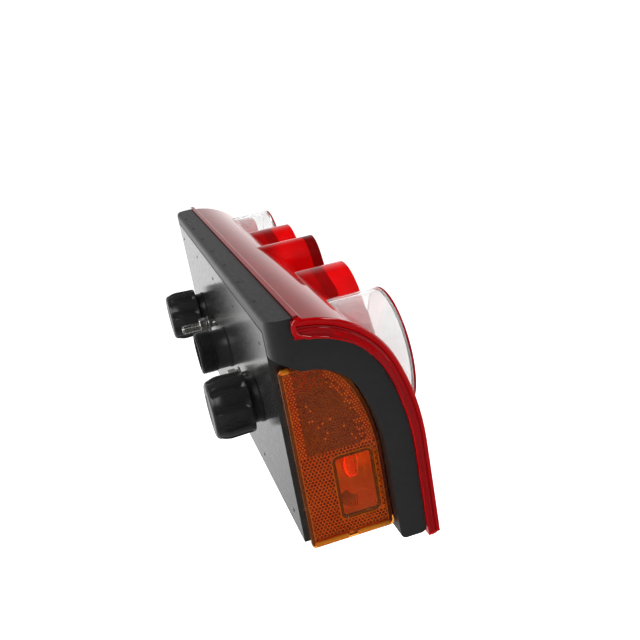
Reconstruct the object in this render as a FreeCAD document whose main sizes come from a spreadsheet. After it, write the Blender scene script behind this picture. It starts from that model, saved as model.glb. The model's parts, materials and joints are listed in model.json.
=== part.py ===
"""Trailer tail light: a left-hand rear lamp cluster with five chambers and a side marker.

Frame: millimetres, +X along the lamp, +Y out of the back wall towards the vehicle, +Z up.
The origin is midway between the two mounting studs, on the back face of the housing.
The lens faces -Y, and the amber side marker is at the -X end.
"""

import math
import os
import re
import FreeCAD
import Part
import Sketcher
from FreeCAD import Placement, Rotation, Vector

DRIVING_SIZES = {
    # housing
    "plate_length": 412.0,
    "plate_top": 75.0,
    "plate_bottom": -76.0,
    "wall": 3.0,
    "roof_depth": 16.5,
    # end profile of the lens: a corner arc, then a flatter front arc
    "corner_depth": 17.0,
    "corner_height": 19.0,
    "corner_radius": 65.0,
    "corner_turn": 68.0,
    "front_radius": 165.0,
    # insets of the nested profiles from the lens surface, and how far each one drops
    "lens_skin": 3.0,
    "gasket_inset": 6.2,
    "gasket_low": -78.0,
    "gasket_high": 70.0,
    "frame_inset": 8.6,
    "frame_drop": 4.5,
    "housing_inset": 12.0,
    "marker_inset": 27.0,
    "marker_drop": 7.0,
    # frame
    "frame_length": 444.0,
    "frame_depth": 17.0,
    "frame_height": 85.0,
    "frame_foot": -86.0,
    "frame_corner": 4.0,
    "frame_corner_low": 60.0,
    "frame_plan_corner": 12.0,
    "join_gap": 0.3,
    # lens
    "lens_length": 448.0,
    "lens_foot": -88.5,
    "lens_foot_corner": 5.0,
    "lens_hem": 71.0,
    "bead_top": 86.6,
    "bead_depth": 3.2,
    # chambers
    "chamber_pitch": 87.3,
    "chamber_height": 31.6,
    "chamber_radius": 42.0,
    "chamber_skin": 2.5,
    "chamber_front": 91.0,
    "chamber_root": 25.0,
    "triangle_reach": 22.4,
    "triangle_corner": 25.0,
    "reflex_depth": 15.0,
    # reflector panel and its bowls
    "panel_depth": 26.0,
    "panel_skin": 2.0,
    "panel_half_length": 198.0,
    "panel_low": -56.0,
    "panel_high": 66.0,
    "bowl_throat": 14.0,
    "bowl_mouth": 26.5,
    "bowl_front": 60.0,
    "bowl_curve": 60.0,
    "bowl_skin": 1.5,
    # bulbs and holders
    "bulb_glass": 12.5,
    "bulb_neck": 7.0,
    "bulb_centre": 47.0,
    "bulb_base": 7.5,
    "bulb_base_rear": 14.0,
    "bulb_base_front": 33.0,
    "holder_radius": 10.5,
    "holder_bore": 7.8,
    "holder_floor": 12.0,
    "holder_rear": 8.0,
    "holder_flange": 15.5,
    "holder_skin": 2.4,
    # contact rails
    "rail_half_length": 182.0,
    "rail_width": 6.0,
    "rail_skin": 0.8,
    "rail_depth": 6.0,
    "rail_high": 48.0,
    "rail_low": -36.0,
    "post_radius": 4.0,
    "post_x": 131.0,
    "post_high": 60.0,
    "post_low": -48.0,
    # lens screws
    "screw_near": 55.0,
    "screw_far": 160.0,
    "screw_height": -64.0,
    "screw_radius": 2.1,
    "screw_hole": 2.6,
    "screw_head": 4.5,
    "screw_length": 22.0,
    "screw_head_height": 2.0,
    "boss_radius": 5.0,
    # side marker
    "marker_face": 212.0,
    "marker_seat": 207.5,
    "marker_rear": 3.5,
    "marker_foot": -79.5,
    "marker_skin": 2.4,
    "window_rear": 28.8,
    "window_front": 54.2,
    "window_low": -64.2,
    "window_high": -20.1,
    "window_recess": 1.2,
    "marker_box_skin": 1.5,
    "marker_box_depth": 24.0,
    "marker_bulb_radius": 5.0,
    "marker_bulb_tip": -46.0,
    "marker_bulb_top": -24.0,
    "marker_bulb_inset": 192.0,
    "marker_holder_radius": 7.0,
    "marker_box_rear": 28.4,
    "marker_box_front": 57.0,
    "marker_box_low": -67.0,
    "marker_box_high": -9.0,
    "marker_holder_top": -10.8,
    # connectors
    "connector_x": 126.0,
    "spigot_radius": 16.0,
    "spigot_hole": 16.2,
    "spigot_front": 11.0,
    "barrel_radius": 17.0,
    "barrel_seat": 0.1,
    "thread_radius": 18.2,
    "thread_start": 12.3,
    "thread_end": 26.4,
    "socket_radius": 14.2,
    "insert_front": 6.0,
    "insert_rear": 9.0,
    "pin_radius": 1.15,
    "pin_end": 16.5,
    "pin_tail": 13.0,
    "pin_circle": 9.0,
    "locknut_radius": 21.0,
    "locknut_front": 4.4,
    "locknut_rear": 9.0,
    "gasket_front": 3.1,
    "gasket_rear": 4.3,
    # screw caps
    "cap_bore": 18.28,
    "cap_rim": 22.6,
    "cap_belly": 23.3,
    "cap_end_radius": 19.5,
    "cap_rear": 7.5,
    "cap_shoulder": 24.0,
    "cap_edge": 33.5,
    "cap_end": 36.2,
    "cap_floor": 28.8,
    "cap_recess": 14.0,
    "cap_recess_end": 33.2,
    "disc_radius": 17.8,
    "disc_rear": 26.6,
    "disc_front": 28.6,
    # studs, nuts and washers
    "stud_x": 76.0,
    "stud_radius": 4.0,
    "stud_neck": 3.6,
    "stud_neck_end": 14.5,
    "stud_end": 30.2,
    "stud_head": 13.0,
    "stud_head_rear": 4.4,
    "stud_head_front": 9.4,
    "stud_seal": 7.5,
    "nut_bore": 4.06,
    "nut_corner": 7.5,
    "nut_height": 6.5,
    "nut_far_rear": 7.0,
    "nut_near_rear": 6.0,
    "washer_bore": 4.3,
    "washer_radius": 8.0,
    "washer_height": 1.6,
    "spring_radius": 6.6,
    "spring_height": 1.2,
    "loose_gap": 0.2,
    # breather plug
    "breather_x": 100.0,
    "breather_y": 32.0,
    "breather_radius": 4.0,
    "breather_head": 6.5,
    "breather_proud": 2.0,
}

CHAMBERS = {"indicator": -2, "stop_near": -1, "stop_far": 1, "reversing": 2}
CONNECTORS = {"near": -1, "centre": 0, "far": 1}
SIDES = {"near": -1, "far": 1}

STOPS = ("stop_near", "stop_far")
CLEARS = ("indicator", "reversing")
POSTS = ("post_high", "post_low")
RAILS = ("rail_high", "rail_low")
PIN_COUNT = 7
LEAST_CHANGE = 1.0

doc = FreeCAD.newDocument("trailer_tail_light")
sizes = doc.addObject("Spreadsheet::Sheet", "Sizes")
nodes = {}


def fill_sheet():
    for row, (name, number) in enumerate(DRIVING_SIZES.items(), start=1):
        sizes.set(f"A{row}", name)
        sizes.set(f"B{row}", str(number))
        sizes.setAlias(f"B{row}", name)
    doc.recompute()


def bound(formula):
    """Turn bare size names into references to the sheet."""
    return re.sub(r"\b(?!(?:sin|cos|sqrt)\b)[a-z][a-z_]+\b", r"Sizes.\g<0>", formula)


def value(formula):
    return float(sizes.evalExpression(bound(formula)))


def bind(item, **formulas):
    """Set properties from formulas; a double underscore stands for a dot."""
    for path, formula in formulas.items():
        item.setExpression(path.replace("__", "."), bound(formula))
    return item


def keep(label, item):
    item.Label = label
    nodes[label] = item
    return item


# --- sketches and part design features ---------------------------------------------------


def new_body(label):
    return keep(label, doc.addObject("PartDesign::Body", label + "_body"))


def new_sketch(body, plane, lift="0"):
    """A sketch on one of the body's origin planes, lifted along the plane's normal."""
    sketch = body.newObject("Sketcher::SketchObject", body.Name + "_sketch")
    origin_plane = next(f for f in body.Origin.OriginFeatures if f.Role == plane)
    sketch.AttachmentSupport = [(origin_plane, "")]
    sketch.MapMode = "FlatFace"
    return bind(sketch, AttachmentOffset__Base__z=lift)


def arc_through(start, end, radius, side):
    """The short arc from start to end; side is 1 where its centre is left of the way there."""
    chord = end - start
    rise = (radius**2 - (chord.Length / 2) ** 2) ** 0.5
    left = Vector(-chord.y, chord.x, 0).normalize()
    circle = Part.Circle((start + end) * 0.5 + left * (side * rise), Vector(0, 0, 1), radius)
    begin, finish = (start, end) if side > 0 else (end, start)
    low, high = circle.parameter(begin), circle.parameter(finish)
    return Part.ArcOfCircle(circle, low, high if high > low else high + 2 * math.pi)


def add_outline(sketch, corners):
    """A closed outline. Each corner is (u, v) in formulas, and (u, v, radius, side) makes the
    stretch that arrives at it an arc."""
    points = [Vector(value(corner[0]), value(corner[1]), 0) for corner in corners]
    first = sketch.GeometryCount
    for index, corner in enumerate(corners):
        start, end = points[index - 1], points[index]
        if len(corner) == 4:
            stretch = arc_through(start, end, value(corner[2]), corner[3])
        else:
            stretch = Part.LineSegment(start, end)
        sketch.addGeometry(stretch, False)
    join_outline(sketch, corners, first)


def join_outline(sketch, corners, first):
    """Join the stretches end to end, and tie each corner and radius to its formula."""
    ends = [1 if len(corner) == 4 and corner[3] < 0 else 2 for corner in corners]
    for index, corner in enumerate(corners):
        following = (index + 1) % len(corners)
        pair = (first + index, ends[index], first + following, 3 - ends[following])
        sketch.addConstraint(Sketcher.Constraint("Coincident", *pair))
        tie_point(sketch, first + index, ends[index], corner[0], corner[1])
        if len(corner) == 4:
            tie(sketch, corner[2], "Radius", first + index)


def tie(sketch, formula, kind, *where):
    number = sketch.addConstraint(Sketcher.Constraint(kind, *where, value(formula)))
    sketch.setExpression(f"Constraints[{number}]", bound(formula))


def tie_point(sketch, geometry, point, across, upward):
    tie(sketch, across, "DistanceX", -1, 1, geometry, point)
    tie(sketch, upward, "DistanceY", -1, 1, geometry, point)


def add_circle(sketch, across, upward, radius):
    centre = Vector(value(across), value(upward), 0)
    number = sketch.addGeometry(Part.Circle(centre, Vector(0, 0, 1), value(radius)), False)
    tie_point(sketch, number, 3, across, upward)
    tie(sketch, radius, "Radius", number)


def rectangle(low_u, high_u, low_v, high_v):
    return [(low_u, low_v), (high_u, low_v), (high_u, high_v), (low_u, high_v)]


def extrude(body, kind, sketch, length, symmetric=False, reverse=False):
    """Pad or pocket a sketch, and check that it changed the solid."""
    before = body.Shape.Volume if body.Tip else 0.0
    feature = body.newObject("PartDesign::" + kind, body.Name + "_" + kind.lower())
    feature.Profile = sketch
    feature.SideType = "Symmetric" if symmetric else "One side"
    feature.Reversed = reverse
    bind(feature, Length=length)
    doc.recompute()
    change = feature.Shape.Volume - before
    if abs(change) < LEAST_CHANGE or (change > 0) != (kind == "Pad"):
        raise RuntimeError(f"{feature.Name} changed the volume by {change:.1f}")


def end_shape(body, kind, corners, length):
    """An outline in the end view, pushed equally both ways along the lamp."""
    sketch = new_sketch(body, "YZ_Plane")
    add_outline(sketch, corners)
    extrude(body, kind, sketch, length, symmetric=True)


def front_circles(body, kind, circles, length, lift="0"):
    """Circles (x, z, radius) in the front view, pushed towards the lens."""
    sketch = new_sketch(body, "XZ_Plane", lift)
    for circle in circles:
        add_circle(sketch, *circle)
    extrude(body, kind, sketch, length, reverse=(kind == "Pocket"))


def front_outlines(body, kind, outlines, length, lift="0"):
    sketch = new_sketch(body, "XZ_Plane", lift)
    for outline in outlines:
        add_outline(sketch, outline)
    extrude(body, kind, sketch, length, reverse=(kind == "Pocket"))


def turned(label, corners, across="0", upward="0"):
    """A body of revolution about a +Y axis; its outline gives (y, radius)."""
    body = new_body(label)
    sketch = new_sketch(body, "YZ_Plane")
    add_outline(sketch, corners)
    spin = body.newObject("PartDesign::Revolution", body.Name + "_turn")
    spin.Profile = sketch
    spin.ReferenceAxis = (sketch, ["H_Axis"])
    spin.Angle = 360
    return bind(body, Placement__Base__x=across, Placement__Base__z=upward)


# --- part primitives ---------------------------------------------------------------------


def rod(name, radius, rear, front, across, upward):
    """A cylinder along Y, from its lowest y to its highest."""
    item = doc.addObject("Part::Cylinder", name)
    item.Placement = Placement(Vector(), Rotation(Vector(1, 0, 0), -90))
    bind(item, Radius=radius, Height=f"({front}) - ({rear})")
    return move(item, across, rear, upward)


def hexagon(name, corner, rear, front, across, upward):
    item = doc.addObject("Part::Prism", name)
    item.Polygon = 6
    item.Placement = Placement(Vector(), Rotation(Vector(1, 0, 0), -90))
    bind(item, Circumradius=corner, Height=f"({front}) - ({rear})")
    return move(item, across, rear, upward)


def upright(name, radius, low, high, across, depth):
    item = bind(doc.addObject("Part::Cylinder", name), Radius=radius, Height=f"({high}) - ({low})")
    return move(item, across, depth, low)


def block(name, across, depth, upward):
    """A box between pairs of formulas."""
    item = doc.addObject("Part::Box", name)
    spans = [f"({high}) - ({low})" for low, high in (across, depth, upward)]
    bind(item, Length=spans[0], Width=spans[1], Height=spans[2])
    return move(item, across[0], depth[0], upward[0])


def move(item, across, depth, upward):
    places = {"Placement__Base__x": across, "Placement__Base__y": depth, "Placement__Base__z": upward}
    return bind(item, **places)


def cut(name, base, *tools):
    result = doc.addObject("Part::Cut", name)
    result.Base = base
    result.Tool = tools[0] if len(tools) == 1 else fuse(name + "_tools", *tools)
    return result


def fuse(name, *shapes):
    result = doc.addObject("Part::MultiFuse", name)
    result.Shapes = list(shapes)
    return result


def group(name, *shapes):
    """Separate solids that share one node."""
    result = doc.addObject("Part::Compound", name)
    result.Links = list(shapes)
    return result


def ring(name, bore, outer, rear, front, across, upward="0"):
    place = (rear, front, across, upward)
    return cut(name, rod(name + "_outer", outer, *place), rod(name + "_bore", bore, *place))


# --- the nested end profiles -------------------------------------------------------------


def profile(inset, drop="0", rear="0", rising=False):
    """Two tangent arcs, from the top round to the upright front, or back up. The top end lies
    `rear` in front of the corner arc's centre line."""
    corner_r, front_r = f"(corner_radius - {inset})", f"(front_radius - {inset})"
    shift = "(front_radius - corner_radius)"
    centre_z = f"corner_height - {drop}"
    top = (f"-corner_depth - ({rear})", f"{centre_z} + sqrt({corner_r}^2 - ({rear})^2)")
    bend = (
        f"-corner_depth - {corner_r} * sin(corner_turn)",
        f"{centre_z} + {corner_r} * cos(corner_turn)",
    )
    low = (
        f"-corner_depth + {shift} * sin(corner_turn) - {front_r}",
        f"{centre_z} - {shift} * cos(corner_turn)",
    )
    if rising:
        return [low, (*bend, front_r, -1), (*top, corner_r, -1)]
    return [top, (*bend, corner_r, 1), (*low, front_r, 1)]


def front_at(inset):
    """The y of a profile's upright front."""
    return profile(inset)[2][0]


# --- housing and frame -------------------------------------------------------------------


def make_housing():
    body = new_body("housing_shell")
    outline = [("-roof_depth", "plate_top"), *profile("housing_inset", "frame_drop")]
    outline += [(front_at("housing_inset"), "plate_bottom"), ("0", "plate_bottom"), ("0", "plate_top")]
    end_shape(body, "Pad", outline, "plate_length")
    hollow = rectangle("-chamber_front", "-wall", "plate_bottom + wall", "plate_top - wall")
    end_shape(body, "Pocket", hollow, "plate_length - 2 * wall")
    add_posts(body)
    open_walls(body)


def open_walls(body):
    """Holes for the connectors, the studs, the side marker's bulb and the breather."""
    holes = [(f"{side} * connector_x", "0", "spigot_hole") for side in CONNECTORS.values()]
    holes += [(f"{side} * stud_x", "0", "stud_neck + join_gap") for side in SIDES.values()]
    front_circles(body, "Pocket", holes, "wall")
    sketch = new_sketch(body, "YZ_Plane")
    add_outline(sketch, rectangle("-window_front", "-window_rear", "window_low", "marker_holder_top"))
    extrude(body, "Pocket", sketch, "plate_length")
    sketch = new_sketch(body, "XY_Plane")
    add_circle(sketch, "breather_x", "-breather_y", "breather_radius")
    extrude(body, "Pocket", sketch, "-2 * plate_bottom")


def add_posts(body):
    """Posts for the reflector panel, pads for the contact rails, bosses for the lens screws."""
    posts = [(f"{side} * post_x", z, "post_radius") for side in SIDES.values() for z in POSTS]
    front_circles(body, "Pad", posts, "panel_depth")
    pads = []
    for side in SIDES.values():
        low, high = f"{side} * chamber_pitch / 2 - rail_width", f"{side} * chamber_pitch / 2 + rail_width"
        pads += [rectangle(low, high, rail, rail + " + rail_width") for rail in RAILS]
    front_outlines(body, "Pad", pads, "rail_depth")
    bosses = [(x, "screw_height", "boss_radius") for x in screw_places()]
    front_circles(body, "Pad", bosses, f"-({front_at('lens_skin')}) - join_gap")
    pilots = [(x, "screw_height", "screw_radius") for x in screw_places()]
    front_circles(body, "Pocket", pilots, "chamber_front", lift="chamber_front - lens_skin - screw_length")


def screw_places():
    return [f"{side} * {x}" for side in SIDES.values() for x in ("screw_near", "screw_far")]


def make_frame():
    """One ring: hooked bands at the two ends, joined by a top strip and a bottom strip."""
    body = new_body("frame_surround")
    rear, front = "-join_gap", front_at("frame_inset")
    outline = [
        (rear, "frame_corner_low"),
        (rear, "frame_height - frame_corner"),
        (f"{rear} - frame_corner", "frame_height", "frame_corner", 1),
        ("-frame_depth", "frame_height"),
        *profile("frame_inset", "frame_drop"),
        (front, "frame_foot + frame_corner"),
        (f"{front} + frame_corner", "frame_foot", "frame_corner", 1),
        (f"{front_at('marker_inset')} - frame_corner", "frame_foot"),
        (front_at("marker_inset"), "frame_foot + frame_corner", "frame_corner", 1),
        *profile("marker_inset", "marker_drop", rising=True),
    ]
    end_shape(body, "Pad", outline, "frame_length")
    middle = rectangle("-chamber_front", "wall", "plate_bottom - join_gap", "plate_top + join_gap")
    end_shape(body, "Pocket", middle, "plate_length + 2 * join_gap")
    sketch = new_sketch(body, "XY_Plane")
    for side in SIDES.values():
        end = f"{side} * frame_length / 2"
        inward = f"{end} - {side} * frame_plan_corner"
        around = (end, f"{rear} - frame_plan_corner", "frame_plan_corner", -side)
        add_outline(sketch, [(end, rear), (inward, rear), around])
    extrude(body, "Pocket", sketch, "3 * frame_height", symmetric=True)


def make_lens_gasket():
    """A seal under the rim of the red lens, all the way round."""
    body = new_body("lens_gasket")
    inner = "(frame_inset - join_gap)"
    outline = [
        *profile("gasket_inset", "frame_drop", rear="bead_depth + 2 * join_gap"),
        (front_at("gasket_inset"), "lens_foot + lens_skin + join_gap"),
        (front_at(inner), "lens_foot + lens_skin + join_gap"),
        *profile(inner, "frame_drop", rear="bead_depth + 2 * join_gap", rising=True),
    ]
    end_shape(body, "Pad", outline, "lens_length - 2 * lens_skin - 4 * join_gap")
    middle = rectangle("-chamber_front", "0", "gasket_low", "gasket_high")
    end_shape(body, "Pocket", middle, "plate_length + 4 * join_gap")


# --- lenses ------------------------------------------------------------------------------


def chamber_x(number):
    return f"{number} * chamber_pitch"


def chamber_circles(names, radius):
    return [(chamber_x(CHAMBERS[name]), "chamber_height", radius) for name in names]


def triangle(inset):
    """The central chamber's outline: three round corners, drawn in by an inset."""
    radius = f"(triangle_corner - {inset})"
    corners = []
    for turn in (90, 210, 330):
        across = f"triangle_reach * cos({turn})"
        upward = f"chamber_height + triangle_reach * sin({turn})"
        begin, end = (
            (f"{across} + {radius} * cos({way})", f"{upward} + {radius} * sin({way})")
            for way in (turn - 60, turn + 60)
        )
        corners += [begin, (*end, radius, 1)]
    return corners


def inside_lens():
    """End view of the space behind the lens skin."""
    rear, low = "bead_depth + join_gap", "lens_foot + lens_skin"
    over = [(f"-corner_depth - ({rear})", "lens_hem"), *profile("lens_skin", rear=rear)]
    return over + [(front_at("lens_skin"), low), ("lens_skin", low), ("lens_skin", "lens_hem")]


def make_red_lens():
    body = new_body("red_lens")
    rim, lip = "(frame_inset - join_gap)", "-corner_depth - join_gap"
    outline = [
        (lip, "bead_top"),
        (f"{lip} - bead_depth", "bead_top"),
        *profile("0", rear="bead_depth + join_gap"),
        (front_at("0"), "lens_foot + lens_foot_corner"),
        (f"{front_at('0')} + lens_foot_corner", "lens_foot", "lens_foot_corner", 1),
        (front_at(rim), "lens_foot"),
        *profile(rim, "frame_drop", rear="join_gap", rising=True),
    ]
    end_shape(body, "Pad", outline, "lens_length")
    reach = "chamber_front - chamber_root"
    front_circles(body, "Pad", chamber_circles(STOPS, "chamber_radius"), reach, "chamber_root")
    front_outlines(body, "Pad", [triangle("0")], reach, "chamber_root")
    end_shape(body, "Pocket", inside_lens(), "lens_length - 2 * lens_skin")
    bores = chamber_circles(STOPS, "chamber_radius - chamber_skin")
    front_circles(body, "Pocket", bores, reach + " - chamber_skin", "chamber_root")
    seats = chamber_circles(CLEARS, "chamber_radius")
    front_circles(body, "Pocket", seats, "chamber_front", "chamber_root")
    front_outlines(body, "Pocket", [triangle("chamber_skin")], "chamber_front", "chamber_root")
    holes = [(x, "screw_height", "screw_hole") for x in screw_places()]
    front_circles(body, "Pocket", holes, "chamber_front", "chamber_root")


def make_clear_lens(name):
    """A clear drum whose rear edge follows the red lens, closed in front."""
    body = new_body("clear_lens_" + name)
    reach = "chamber_front - chamber_root"
    front_circles(body, "Pad", [("0", "chamber_height", "chamber_radius")], reach, "chamber_root")
    end_shape(body, "Pocket", inside_lens(), "4 * chamber_radius")
    bore = [("0", "chamber_height", "chamber_radius - chamber_skin")]
    front_circles(body, "Pocket", bore, reach + " - chamber_skin", "chamber_root")
    bind(body, Placement__Base__x=chamber_x(CHAMBERS[name]))


def make_reflex_triangle():
    """The thick prism block that closes the triangular chamber."""
    body = new_body("reflex_triangle")
    outlines = [triangle("chamber_skin")]
    front_outlines(body, "Pad", outlines, "reflex_depth", "chamber_front - reflex_depth")


# --- reflectors, bulbs and holders -------------------------------------------------------


def make_panel():
    spans = ("-panel_half_length", "panel_half_length"), ("-panel_depth - panel_skin", "-panel_depth")
    panel = block("panel_blank", *spans, ("panel_low", "panel_high"))
    place = ("-panel_depth - panel_skin", "-panel_depth")
    holes = []
    for name, number in CHAMBERS.items():
        across = chamber_x(number)
        holes.append(rod("panel_hole_" + name, "holder_radius", *place, across, "chamber_height"))
    keep("reflector_panel", cut("panel", panel, *holes))


def make_bowl(name, across):
    rear, front = "-panel_depth - panel_skin", "-bowl_front"
    outline = [
        (rear, "bowl_throat + bowl_skin"),
        (front, "bowl_mouth + bowl_skin", "bowl_curve", 1),
        (front, "bowl_mouth"),
        (rear, "bowl_throat", "bowl_curve", -1),
    ]
    turned("reflector_bowl_" + name, outline, across, "chamber_height")


def make_bulb(name, across):
    shoulder = "-bulb_centre + sqrt(bulb_glass^2 - bulb_neck^2)"
    glass = [
        ("-bulb_base_front", "0"),
        ("-bulb_base_front", "bulb_neck"),
        (shoulder, "bulb_neck"),
        ("-bulb_centre - bulb_glass", "0", "bulb_glass", 1),
    ]
    turned("bulb_glass_" + name, glass, across, "chamber_height")
    place = ("-bulb_base_front", "-bulb_base_rear", across, "chamber_height")
    keep("bulb_base_" + name, rod("base_of_" + name, "bulb_base", *place))


def make_holder(name, across):
    flange = "-panel_depth + holder_skin"
    outline = [
        ("-holder_rear", "0"),
        ("-holder_floor", "0"),
        ("-holder_floor", "holder_bore"),
        ("-bulb_base_front", "holder_bore"),
        ("-bulb_base_front", "holder_radius"),
        ("-panel_depth", "holder_radius"),
        ("-panel_depth", "holder_flange"),
        (flange, "holder_flange"),
        (flange, "holder_radius"),
        ("-holder_rear", "holder_radius"),
    ]
    turned("bulb_holder_" + name, outline, across, "chamber_height")


def make_rails():
    ends, depth = ("-rail_half_length", "rail_half_length"), ("-rail_depth - rail_skin", "-rail_depth")
    for label, low in zip(("contact_rail_ground", "contact_rail_feed"), RAILS):
        keep(label, block(label + "_strip", ends, depth, (low, low + " + rail_width")))


# --- side marker -------------------------------------------------------------------------


def marker_outline(margin):
    """End view of the side marker, smaller all round by a margin."""
    inset = f"(marker_inset + join_gap + {margin})"
    low, rear = f"marker_foot + {margin}", f"-marker_rear - {margin}"
    top = profile(inset, "marker_drop")
    return [*top, (front_at(inset), low), (rear, low), (rear, top[0][1])]


def marker_step(body, kind, outline, face, length, reverse=False):
    sketch = new_sketch(body, "YZ_Plane", face)
    add_outline(sketch, outline)
    extrude(body, kind, sketch, length, reverse=reverse)


def make_side_marker():
    window = rectangle("-window_front", "-window_rear", "window_low", "window_high")
    body = new_body("side_marker_lens")
    marker_step(body, "Pad", marker_outline("0"), "-marker_face", "marker_face - marker_seat")
    hollow = "marker_face - marker_seat - marker_skin"
    marker_step(body, "Pocket", marker_outline("marker_skin"), "-marker_seat", hollow)
    marker_step(body, "Pocket", window, "-marker_face", "window_recess", reverse=True)
    body = new_body("side_marker_gasket")
    seal = "marker_seat - plate_length / 2 - 2 * join_gap"
    marker_step(body, "Pad", marker_outline("marker_skin"), "-marker_seat + join_gap", seal)
    opening = rectangle("-window_front", "-window_rear", "window_low", "marker_holder_top")
    marker_step(body, "Pocket", opening, "-marker_seat + join_gap", seal, reverse=True)


def make_side_marker_bulb():
    depth = "-(window_rear + window_front) / 2"
    top, tip = "marker_bulb_top", "marker_bulb_tip + marker_bulb_radius"
    stem = upright("marker_stem", "marker_bulb_radius", tip, top, "-marker_bulb_inset", depth)
    dome = bind(doc.addObject("Part::Sphere", "marker_dome"), Radius="marker_bulb_radius")
    move(dome, "-marker_bulb_inset", depth, tip)
    keep("side_marker_bulb", fuse("marker_bulb", stem, dome))
    place = (top, "marker_holder_top", "-marker_bulb_inset", depth)
    keep("side_marker_holder", upright("marker_holder", "marker_holder_radius", *place))
    make_side_marker_reflector()


def make_side_marker_reflector():
    """A five-sided box, open towards the side marker."""
    mouth, skin = "-plate_length / 2 + wall + join_gap", "marker_box_skin"
    back = mouth + " + marker_box_depth"
    outer = block(
        "marker_box_outer",
        (mouth, back),
        ("-marker_box_front", "-marker_box_rear"),
        ("marker_box_low", "marker_box_high"),
    )
    inner = block(
        "marker_box_inner",
        (mouth, f"{back} - {skin}"),
        (f"-marker_box_front + {skin}", f"-marker_box_rear - {skin}"),
        (f"marker_box_low + {skin}", f"marker_box_high - {skin}"),
    )
    keep("side_marker_reflector", cut("marker_box", outer, inner))


# --- connectors and their screw caps -----------------------------------------------------


def make_connector(name, across):
    barrel = [
        ("-spigot_front", "socket_radius"),
        ("thread_end", "socket_radius"),
        ("thread_end", "thread_radius"),
        ("thread_start", "thread_radius"),
        ("thread_start", "barrel_radius"),
        ("barrel_seat", "barrel_radius"),
        ("barrel_seat", "spigot_radius"),
        ("-spigot_front", "spigot_radius"),
    ]
    turned("connector_body_" + name, barrel, across)
    pins = []
    for number, (x, z) in enumerate(pin_places(across)):
        pins.append(rod(f"pin_{name}_{number}", "pin_radius", "-pin_tail", "pin_end", x, z))
    disc = rod("insert_disc_" + name, "socket_radius", "-insert_rear", "insert_front", across, "0")
    keep("connector_insert_" + name, cut("insert_" + name, disc, *pins))
    return pins


def pin_places(across):
    """One contact in the middle and the rest evenly round it."""
    places = [(across, "0")]
    for number in range(PIN_COUNT - 1):
        angle = f"{number} * 360 / {PIN_COUNT - 1}"
        places.append((f"{across} + pin_circle * sin({angle})", f"pin_circle * cos({angle})"))
    return places


def make_connectors():
    pins, nuts, seals = [], [], []
    for name, side in CONNECTORS.items():
        across = f"{side} * connector_x"
        pins += make_connector(name, across)
        place = ("-locknut_rear", "-locknut_front", across, "0")
        outer = hexagon("locknut_outer_" + name, "locknut_radius", *place)
        nuts.append(cut("locknut_" + name, outer, rod("locknut_bore_" + name, "spigot_radius", *place)))
        seal = ("spigot_hole", "locknut_radius - wall", "-gasket_rear", "-gasket_front", across)
        seals.append(ring("connector_seal_" + name, *seal))
    keep("contact_pins", group("pins", *pins))
    keep("connector_locknuts", group("locknuts", *nuts))
    keep("connector_gaskets", group("connector_seals", *seals))


def make_cap(name, across):
    shell = [
        ("cap_rear", "cap_bore"),
        ("cap_rear", "cap_rim"),
        ("cap_shoulder", "cap_belly"),
        ("cap_edge", "cap_end_radius + cap_end - cap_edge"),
        ("cap_end", "cap_end_radius", "cap_end - cap_edge", -1),
        ("cap_end", "0"),
        ("cap_recess_end", "0"),
        ("cap_recess_end", "cap_recess"),
        ("cap_floor", "cap_recess"),
        ("cap_floor", "cap_bore"),
    ]
    turned("cap_" + name, shell, across)
    place = ("disc_rear", "disc_front", across, "0")
    keep("cap_seal_" + name, rod("cap_disc_" + name, "disc_radius", *place))


# --- studs, nuts, screws and plugs -------------------------------------------------------


def make_studs():
    studs, seals = [], []
    for name, side in SIDES.items():
        across = f"{side} * stud_x"
        neck = rod("stud_neck_" + name, "stud_neck", "-stud_head_front", "stud_neck_end", across, "0")
        stem = rod("stud_rod_" + name, "stud_radius", "stud_neck_end", "stud_end", across, "0")
        width = (f"{across} - stud_head / 2", f"{across} + stud_head / 2")
        depth = ("-stud_head_front", "-stud_head_rear")
        head = block("stud_head_" + name, width, depth, ("-stud_head / 2", "stud_head / 2"))
        studs.append(fuse("stud_" + name, neck, stem, head))
        seal = ("stud_neck", "stud_seal", "-stud_head_rear", "-wall", across)
        seals.append(ring("stud_seal_" + name, *seal))
    keep("mounting_studs", group("studs", *studs))
    keep("stud_seals", group("stud_rings", *seals))


def make_nut(name, side):
    """A nut with its spring washer and flat washer, backed off from the wall."""
    across, rear = f"{side} * stud_x", f"nut_{name}_rear"
    spring_front = f"{rear} - loose_gap"
    spring_rear = f"{spring_front} - spring_height"
    flat_front = f"{spring_rear} - loose_gap"
    blank = hexagon("nut_blank_" + name, "nut_corner", rear, f"{rear} + nut_height", across, "0")
    bore = rod("nut_bore_" + name, "nut_bore", rear, f"{rear} + nut_height", across, "0")
    keep("stud_nut_" + name, cut("nut_" + name, blank, bore))
    place = ("washer_bore", "spring_radius", spring_rear, spring_front, across)
    keep("spring_washer_" + name, ring("spring_ring_" + name, *place))
    place = ("washer_bore", "washer_radius", f"{flat_front} - washer_height", flat_front, across)
    keep("flat_washer_" + name, ring("flat_ring_" + name, *place))


def make_lens_screws():
    face = front_at("0")
    screws = []
    for number, across in enumerate(screw_places()):
        shank_end, head_end = f"{face} + screw_length", f"{face} - screw_head_height"
        shank = rod(f"screw_shank_{number}", "screw_radius", face, shank_end, across, "screw_height")
        head = rod(f"screw_head_{number}", "screw_head", head_end, face, across, "screw_height")
        screws.append(fuse(f"screw_{number}", shank, head))
    keep("lens_screws", group("screws", *screws))


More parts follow.
